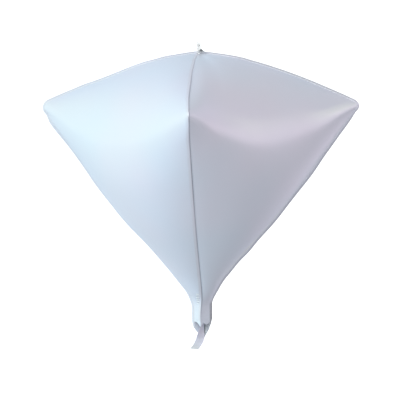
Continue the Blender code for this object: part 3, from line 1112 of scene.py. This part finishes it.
def make_ribs(seam, settings, material, number):
    """Fine ribs that the welding jaws leave all along one flange, on the face that shows.

    They stand near the right-hand flange's root, and over the outer half of the others. The first
    rows at the crown and the last stretch of the neck have none.
    """
    at, share = (3, 0.4) if seam.name == "seam_right" else (6, 0.62)
    depth, guide = rib_line(seam, settings, number, at)
    kept = slice(8, np.searchsorted(depth, NECK_END_DEPTH - 8 * MM))
    values = {"Spacing": settings.rib_spacing, "Length": settings.width * share,
              "Width": 0.55 * MM, "Height": 0.18 * MM}
    rib_piece(seam.name.replace("seam", "weld_ribs"), guide, kept, values, material)


def make_neck_pleats(settings, material):
    """Short pleats over the front weld, where the film is gathered into the neck."""
    depth, (centre, across, face) = rib_line(SEAMS[0], settings, 0, 7)
    kept = slice(*np.searchsorted(depth, (322.0 * MM, 338.0 * MM)))
    guide = (centre + across * 2.7 * MM, across, face)
    values = {"Spacing": settings.pleat_spacing, "Length": 6.4 * MM,
              "Width": 1.5 * MM, "Height": 1.5 * MM}
    rib_piece("neck_pleats", guide, kept, values, material)


# The hang tab round the eyelet's middle: how high that is above the crown, the tab's top and
# foot, half its width above and at its foot, how high the foot flares, the round of its corners
# and the hole's radius
TAB_RISE = 7.0 * MM
TAB_TOP, TAB_FOOT = 4.7 * MM, -10.2 * MM
TAB_HALF, TAB_FOOT_HALF = 2.8 * MM, 4.2 * MM
TAB_FLARE, TAB_CORNER, TAB_HOLE = 3.2 * MM, 1.8 * MM, 0.5 * MM


def tab_reach(turn):
    """Distance from the eyelet's middle to the tab's outline in one direction."""
    low, high = 0.0, 20 * MM
    for _ in range(24):
        reach = (low + high) / 2
        x, z = abs(reach * math.cos(turn)), reach * math.sin(turn)
        flared = max(0.0, min(1.0, 1 - (z - TAB_FOOT) / TAB_FLARE)) ** 2
        half = TAB_HALF + (TAB_FOOT_HALF - TAB_HALF) * flared
        inside = x <= half and TAB_FOOT <= z <= TAB_TOP
        past_x, past_z = x - TAB_HALF + TAB_CORNER, z - TAB_TOP + TAB_CORNER
        if past_x > 0 and past_z > 0:
            inside = math.hypot(past_x, past_z) <= TAB_CORNER
        low, high = (reach, high) if inside else (low, reach)
    return low


def make_tab(material):
    """A flat film tab with a pressed eyelet and a soft crease down from it, with painted shade round
    the eyelet's hole and along the crease.
    """
    turns = np.linspace(0.0, 2 * math.pi, 96, endpoint=False)
    reach = np.array([tab_reach(turn) for turn in turns])
    shares = np.array([0.0, 0.05, 0.11, 0.17, 0.24, 0.34, 0.46, 0.58, 0.70, 0.82, 0.92, 1.0])
    shares = shares[:, None]
    radius = TAB_HOLE + (reach - TAB_HOLE) * shares
    x, z = radius * np.cos(turns), radius * np.sin(turns)
    rim = 0.14 * MM * bell(shares - 0.10, 0.08)
    crease = bell(x + 0.4 * MM, 0.4 * MM) * (z < -1.6 * MM)
    bow = 0.22 * MM * np.sin((z - TAB_FOOT) / (TAB_TOP - TAB_FOOT) * math.pi)
    y = -0.28 * MM - rim + 0.25 * MM * crease - bow
    grid = stacked(x + 0.05 * MM, y, z + CROWN_Z + TAB_RISE)
    # Painted shade round the eyelet's hole and along the crease
    marks = np.maximum(bell(radius - TAB_HOLE, 0.8 * MM), 0.4 * crease)
    piece = shell_piece(
        "film_tab", material, grid, 0.55 * MM, grid[..., [0, 2]], {"weld_shade": marks},
        angle=50.0, ring=True,
    )
    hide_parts("hang_tab")
    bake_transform(piece)


def make_crown_fold(material):
    """The small fold of film that stands beside the tab's foot, with painted shade on it."""
    across = np.linspace(0.0, 1.0, 33)
    share = np.linspace(1.0, 0.0, 9)[:, None]
    left, right, peak = -1.8 * MM, 12.2 * MM, 3.0 * MM
    foot, top = CROWN_Z - 2.4 * MM, CROWN_Z + 3.0 * MM
    x = left + (right - left) * across
    rise = np.where(x < peak, (x - left) / (peak - left), (right - x) / (right - peak))
    height = np.maximum(rise, 0.02) ** np.where(x < peak, 0.9, 1.6) * share
    bulge = 1.1 * MM * (1 - share) ** 1.5 + 0.3 * MM * np.sin(across * 9.0) * (1 - share)
    grid = stacked(x, -1.3 * MM - bulge, foot + height * (top - foot))
    # Painted shade, darkest near the fold's peak
    fade = bell(x - peak, np.where(x < peak, 3.3 * MM, 5.6 * MM))
    shade = 0.95 * fade * bell(height - 0.6, 0.55)
    piece = shell_piece(
        "crown_fold", material, grid, 0.4 * MM, grid[..., [0, 2]], {"fold_shade": shade},
        angle=60.0,
    )
    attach(piece, "envelope")


def make_valve_roll(material):
    """The valve's film rolled up in the neck, which closes it."""
    rows = 8
    turns = np.linspace(0.0, 2 * math.pi * 3.1, 150)
    radius = (1.3 + (5.7 - 1.3) * turns / turns[-1]) * MM
    depth = np.linspace(348.5, 359.2, rows)[:, None] * MM
    waved = radius * (1 + 0.02 * np.sin(turns * 2.3 + np.arange(rows)[:, None] * 0.7))
    grid = stacked(waved * np.cos(turns), waved * np.sin(turns), CROWN_Z - depth)
    uv = stacked(radius * turns, depth)
    piece = shell_piece("valve_roll", material, grid, 0.35 * MM, uv, {})
    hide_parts("valve_sleeve")
    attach(piece, "envelope")


# The valve's tail from the roll to its end: depth, place to the right, half width (mm) and how
# far the strip is twisted (degrees)
TAIL = (
    (353.0,   0.1, 1.1,   0.0),
    (361.0,   0.2, 3.4,  36.0),
    (366.0,   0.3, 4.2,  52.0),
    (371.3,   0.4, 4.4,  54.0),
    (377.7,  -0.7, 5.0,  42.0),
    (384.4,  -1.3, 5.7,  23.0),
    (389.4,  -2.7, 5.4,   4.0),
    (394.3,  -5.2, 5.2,  -6.0),
    (399.2,  -8.2, 4.8, -12.0),
    (402.1, -10.7, 4.5, -12.0),
)


def make_valve_tail(material):
    """The valve's flat tail: a twisted strip that hangs out of the neck, cut off aslant."""
    depth = np.linspace(TAIL[0][0], TAIL[-1][0], 64)
    middle, half, twist = (column_at(TAIL, k, depth)[:, None] for k in (1, 2, 3))
    twist = np.radians(twist)
    line = stacked(middle[:, 0], 0.0, -depth)
    along = unit(np.gradient(line, axis=0))
    edgewise = np.array([0.0, 1.0, 0.0])
    level = np.cross(along, edgewise)
    level = level * np.sign(level[:, :1])
    over = level * np.cos(twist) + edgewise * np.sin(twist)
    face = np.cross(along, over)
    depth = depth[:, None]
    share = (depth - depth[0]) / (depth[-1] - depth[0])
    across = np.linspace(-1.0, 1.0, 17)
    width = half * across
    slant = -3.7 * np.clip((share - 0.85) / 0.15, 0, 1) * across
    fold = 0.22 * bell(across + 0.35, 0.16) * (1 - 0.6 * share)
    ripple = 0.05 * np.sin(depth * 1.1 + across * 2.0)
    grid = (
        line[:, None]
        + over[:, None] * width[..., None]
        + face[:, None] * (fold + ripple)[..., None]
        + along[:, None] * slant[..., None]
    ) * MM
    grid[..., 2] += CROWN_Z
    shade = np.broadcast_to(0.7 * ramp(share, 0.76, 0.24), width.shape)
    uv = stacked(width, depth) * MM
    piece = shell_piece("film_tail", material, grid, 0.40 * MM, uv, {"end_shade": shade})
    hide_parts("valve_tail")
    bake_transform(piece)


def main():
    register()
    for step in STEPS:
        group, call = step.split(".")
        getattr(getattr(bpy.ops, group), call)()


class BALLOON_OT_film(bpy.types.Operator):
    """Draws the four film gores with their quarters of the neck and their lips"""

    bl_idname = "balloon.film"
    bl_label = "Film gores"

    def execute(self, context):
        settings = context.scene.balloon_film
        material = film_material(
            "pearl_film", settings.colour, settings.tint, settings.roughness, settings.metal,
            shade_from="weld_shade", highlight_from="edge_glow",
        )
        for number, gore in enumerate(GORES):
            # Left lips: inner film with painted light; right lips: inner film with painted shade
            label = "inner_film_pale" if gore.name.endswith("left") else "inner_film_dull"
            make_gore(gore, settings, material, inner_film(label), number)
        return {"FINISHED"}


class BALLOON_OT_welds(bpy.types.Operator):
    """Draws the four welded flanges and the ribs that the welding jaws leave on them"""

    bl_idname = "balloon.welds"
    bl_label = "Welded flanges"

    def execute(self, context):
        settings = context.scene.balloon_weld
        film = context.scene.balloon_film
        # The welds' shade colour is for their painted shade
        material = film_material(
            "welded_film", settings.colour, film.tint, 0.40, film.metal, crinkle=0.5,
            crease_scale=120.0, shade_from="weld_shade", shade_colour=(0.32, 0.32, 0.34),
        )
        # The pleats' film is whiter than the welds': a painted highlight on the pleats
        pleat_film = film_material(
            "pleated_film", (0.96, 0.97, 1.0), (0.94, 0.95, 0.98), 0.40, 0.1, crinkle=0.5,
            crease_scale=120.0,
        )
        for number, seam in enumerate(SEAMS):
            make_weld(seam, settings, material, number)
            make_ribs(seam, settings, material, number)
        make_neck_pleats(settings, pleat_film)
        return {"FINISHED"}


class BALLOON_OT_tab(bpy.types.Operator):
    """Draws the hang tab with its eyelet, and the small fold of film beside its foot"""

    bl_idname = "balloon.tab"
    bl_label = "Hang tab"

    def execute(self, context):
        # Near-black shade colour for the painted shade round the eyelet and on the crease
        material = film_material(
            "tab_film", (0.90, 0.86, 0.86), (0.94, 0.90, 0.90), 0.38, 0.10, crinkle=0.35,
            crease_scale=160.0, cloud_scale=120.0, shade_from="weld_shade",
            shade_colour=(0.03, 0.03, 0.035), cover=0.55,
        )
        make_tab(material)
        # A darker film with near-black painted shade for the fold
        fold_film = film_material(
            "fold_film", (0.74, 0.74, 0.80), (0.70, 0.70, 0.76), 0.45, 0.2, crinkle=0.5,
            crease_scale=200.0, shade_from="fold_shade", shade_colour=(0.06, 0.06, 0.065),
        )
        make_crown_fold(fold_film)
        return {"FINISHED"}


class BALLOON_OT_valve(bpy.types.Operator):
    """Draws the rolled valve film in the neck and its tail"""

    bl_idname = "balloon.valve"
    bl_label = "Valve film and tail"

    def execute(self, context):
        material = film_material(
            "valve_film", (0.76, 0.72, 0.86), (0.80, 0.76, 0.84), 0.36, 0.25, crinkle=0.45,
            crease_scale=140.0, cloud_scale=60.0, shade_from="end_shade",
            shade_colour=(0.66, 0.65, 0.65),
        )
        make_valve_roll(material)
        make_valve_tail(material)
        return {"FINISHED"}


class BALLOON_OT_studio(bpy.types.Operator):
    """Sets the pale floor and backdrop, the soft lights and the camera"""

    bl_idname = "balloon.studio"
    bl_label = "White studio"

    def execute(self, context):
        settings = context.scene.balloon_studio
        make_backdrop(settings)
        make_lights()
        make_world(context.scene)
        make_camera(context.scene, settings)
        context.scene.view_settings.view_transform = "Standard"
        return {"FINISHED"}


class BALLOON_PT_panel(bpy.types.Panel):
    """Lists the balloon's pieces and its settings"""

    bl_idname = "BALLOON_PT_panel"
    bl_label = "Diamond foil balloon"
    bl_space_type = "VIEW_3D"
    bl_region_type = "UI"
    bl_category = "Balloon"

    def draw(self, context):
        for step in STEPS:
            self.layout.operator(step)
        for group in SETTINGS:
            holder = getattr(context.scene, group)
            box = self.layout.box()
            for label in holder.__annotations__:
                box.prop(holder, label)


STEPS = ("balloon.studio", "balloon.film", "balloon.welds", "balloon.tab", "balloon.valve")
SETTINGS = {
    "balloon_film": FilmSettings, "balloon_weld": WeldSettings, "balloon_studio": StudioSettings,
}
CLASSES = (
    FilmSettings, WeldSettings, StudioSettings, BALLOON_OT_studio, BALLOON_OT_film,
    BALLOON_OT_welds, BALLOON_OT_tab, BALLOON_OT_valve, BALLOON_PT_panel,
)

# Lights: name, place (m), size (m), power (W), colour
LIGHTS = (
    ("front_window", (0.25, -2.45, 1.15), 2.6, 35.0, (0.93, 1.0, 0.98)),
    ("right_panel", (2.60, -0.30, 0.30), 1.3, 3.7, (1.0, 0.83, 0.96)),
)

# What the lights and the camera point at (m)
LIGHTS_AIM = (0.0, 0.0, -0.05)
CAMERA_AIM = (-0.0005, 0.0, -0.07)

# The floor: half its width, how far behind the balloon it has turned up, the radius of that
# curve, and its top (m)
FLOOR_HALF, FLOOR_BACK, FLOOR_CURVE, FLOOR_TOP = 6.0, 4.5, 1.5, 4.0

# The pale room's own light, and what stands out in it: its bearing and its height above the
# horizon (degrees), how tightly it is gathered there, and its colour
ROOM_GLOW = (0.29, 0.27, 0.29)
ROOM = (
    # what it is                      bearing  height  tightness  colour
    ("bright wall on the left",        183.0,   10.0,    1.5,     (0.75, 0.94, 0.86)),
    ("lilac curtain on the right",      33.0,   20.0,   20.0,     (0.43, 0.38, 0.49)),
    ("white table below it",            50.0,  -17.0,   20.0,     (0.62, 0.56, 0.62)),
    ("blue shade low on the left",     193.0,  -47.0,    9.0,     (0.12, 0.24, 0.42)),
    ("blue wall behind",               111.0,    2.0,    4.0,     (0.25, 0.40, 0.58)),
    ("dim floor in front",             285.0,  -28.0,    4.0,     (0.00, 0.05, 0.11)),
    ("violet ceiling behind",          134.0,   61.0,   20.0,     (0.06, 0.03, 0.29)),
)


def aimed(obj, target):
    direction = Vector(target) - obj.location
    obj.rotation_euler = direction.to_track_quat("-Z", "Y").to_euler()


def make_lights():
    """Soft square lights, all aimed at the balloon."""
    for name, place, size, power, colour in LIGHTS:
        lamp = bpy.data.lights.new(name, "AREA")
        lamp.shape = "SQUARE"
        lamp.size = size
        lamp.energy = power
        lamp.color = colour
        obj = linked_object(name, lamp)
        obj.location = place
        aimed(obj, LIGHTS_AIM)


def make_world(scene):
    """A pale room with soft glows in it, and plain white to the camera."""
    world = bpy.data.worlds.new("pale_room")
    scene.world = world
    world.use_nodes = True
    tree = world.node_tree
    room = tree.nodes["Background"]
    way = result(tree, "ShaderNodeTexCoord", out="Generated")
    light = result(tree, "ShaderNodeCombineXYZ", dict(zip("XYZ", ROOM_GLOW)))
    for _, bearing, height, tightness, colour in ROOM:
        turn, tilt = math.radians(bearing), math.radians(height)
        middle = (
            math.cos(turn) * math.cos(tilt), math.sin(turn) * math.cos(tilt), math.sin(tilt)
        )
        facing = vector_maths(tree, "DOT_PRODUCT", way, middle, out="Value")
        away = maths(tree, "SUBTRACT", facing, 1.0)
        glow = maths(tree, "EXPONENT", maths(tree, "MULTIPLY", away, tightness))
        light = vector_maths(tree, "MULTIPLY_ADD", glow, colour, light)
    feed(tree, room, {"Color": light})
    white = result(tree, "ShaderNodeBackground", {"Color": WHITE})
    seen = result(tree, "ShaderNodeLightPath", out="Is Camera Ray")
    shown = result(tree, "ShaderNodeMixShader", {"Fac": seen, 1: room.outputs[0], 2: white})
    feed(tree, tree.nodes["World Output"], {"Surface": shown})


def make_backdrop(settings):
    """A pale floor that curves up into a backdrop far behind."""
    low = -settings.floor_drop
    bend = FLOOR_BACK - FLOOR_CURVE
    outline = [(-FLOOR_HALF, low), (bend, low)]
    for step in range(1, 13):
        angle = math.radians(step * 7.5)
        rise = FLOOR_CURVE * (1 - math.cos(angle))
        outline.append((bend + FLOOR_CURVE * math.sin(angle), low + rise))
    outline.append((FLOOR_BACK, FLOOR_TOP))
    points = [(x, y, z) for y, z in outline for x in (-FLOOR_HALF, FLOOR_HALF)]
    faces = [(2 * k, 2 * k + 1, 2 * k + 3, 2 * k + 2) for k in range(len(outline) - 1)]
    mesh = bpy.data.meshes.new("floor")
    mesh.from_pydata(points, [], faces)
    material, tree, shader = new_material("pale_paper")
    feed(tree, shader, {
        "Base Color": (0.95, 0.95, 0.95, 1.0), "Roughness": 1.0,
        "Emission Color": WHITE, "Emission Strength": 0.8,
    })
    floor = add_piece("floor", mesh, material)
    floor.visible_diffuse = False
    floor.visible_glossy = False
    floor.visible_shadow = False


def make_camera(scene, settings):
    """The camera, turned about the point that it looks at."""
    data = bpy.data.cameras.new("camera")
    data.lens = settings.lens
    data.clip_start = 0.02
    data.clip_end = 60.0
    camera = linked_object("camera", data)
    a, e = settings.azimuth, settings.elevation
    back = Vector((math.sin(a) * math.cos(e), -math.cos(a) * math.cos(e), math.sin(e)))
    camera.location = Vector(CAMERA_AIM) + back * settings.distance
    turn = (-back).to_track_quat("-Z", "Y").to_matrix()
    camera.rotation_euler = (turn @ Matrix.Rotation(settings.roll, 3, "Z")).to_euler()
    scene.camera = camera


def register():
    for kind in CLASSES:
        bpy.utils.register_class(kind)
    for label, kind in SETTINGS.items():
        setattr(bpy.types.Scene, label, PointerProperty(type=kind))


def unregister():
    for label in SETTINGS:
        delattr(bpy.types.Scene, label)
    for kind in reversed(CLASSES):
        bpy.utils.unregister_class(kind)


if __name__ == "__main__":
    main()
